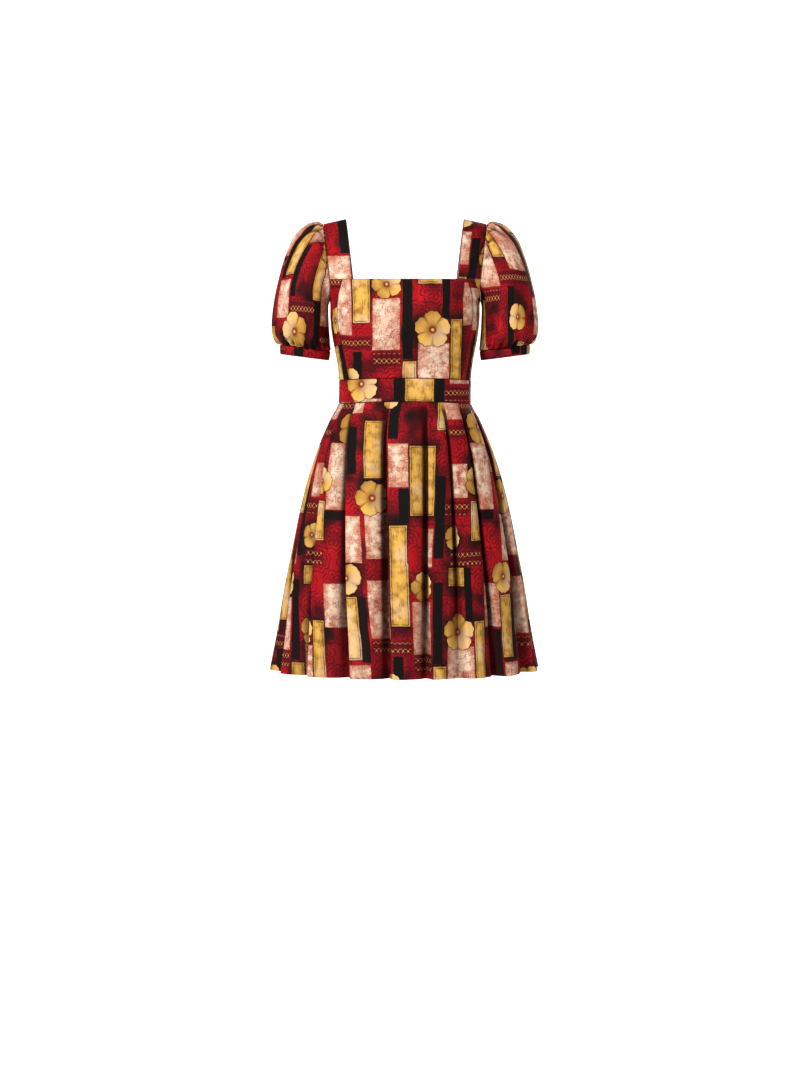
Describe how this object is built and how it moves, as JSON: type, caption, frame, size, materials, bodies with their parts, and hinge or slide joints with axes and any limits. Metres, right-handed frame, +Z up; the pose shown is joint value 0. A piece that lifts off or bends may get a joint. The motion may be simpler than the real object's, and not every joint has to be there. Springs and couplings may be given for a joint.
{
  "type": "skater dress",
  "caption": "Worn, empty cotton dress: square neck, puff sleeves with cuffs, waistband and pleated skirt.",
  "frame": {"origin": "midway between the tops of the two shoulder straps, where the wearer carries the dress", "axes": "+Z up, the dress's front faces -Y, +X is the wearer's left"},
  "size_m": [0.4878, 0.4032, 0.8158],
  "materials": {
    "printed_cotton": "matt printed cotton, crimson with cream, ochre and black",
    "zip_metal": "red lacquered metal"
  },
  "bodies": {
    "root": {"front_centre": "printed_cotton", "side_front_left": "printed_cotton", "side_front_right": "printed_cotton", "back_left": "printed_cotton", "back_right": "printed_cotton", "strap_left": "printed_cotton", "strap_right": "printed_cotton", "waistband_front": "printed_cotton", "waistband_back_left": "printed_cotton", "waistband_back_right": "printed_cotton", "skirt_front": "printed_cotton", "skirt_back_left": "printed_cotton", "skirt_back_right": "printed_cotton", "sleeve_left": "printed_cotton", "sleeve_right": "printed_cotton", "cuff_left": "printed_cotton", "cuff_right": "printed_cotton", "zip_slider": "zip_metal"},
    "pull": {"zip_pull": "zip_metal"}
  },
  "joints": [
    {"name": "pull_hinge", "type": "hinge", "parent": "root", "child": "pull", "pos_m": [0, 0.10328, -0.123], "axis": [1, 0, 0], "range_deg": [0, 150]}
  ]
}
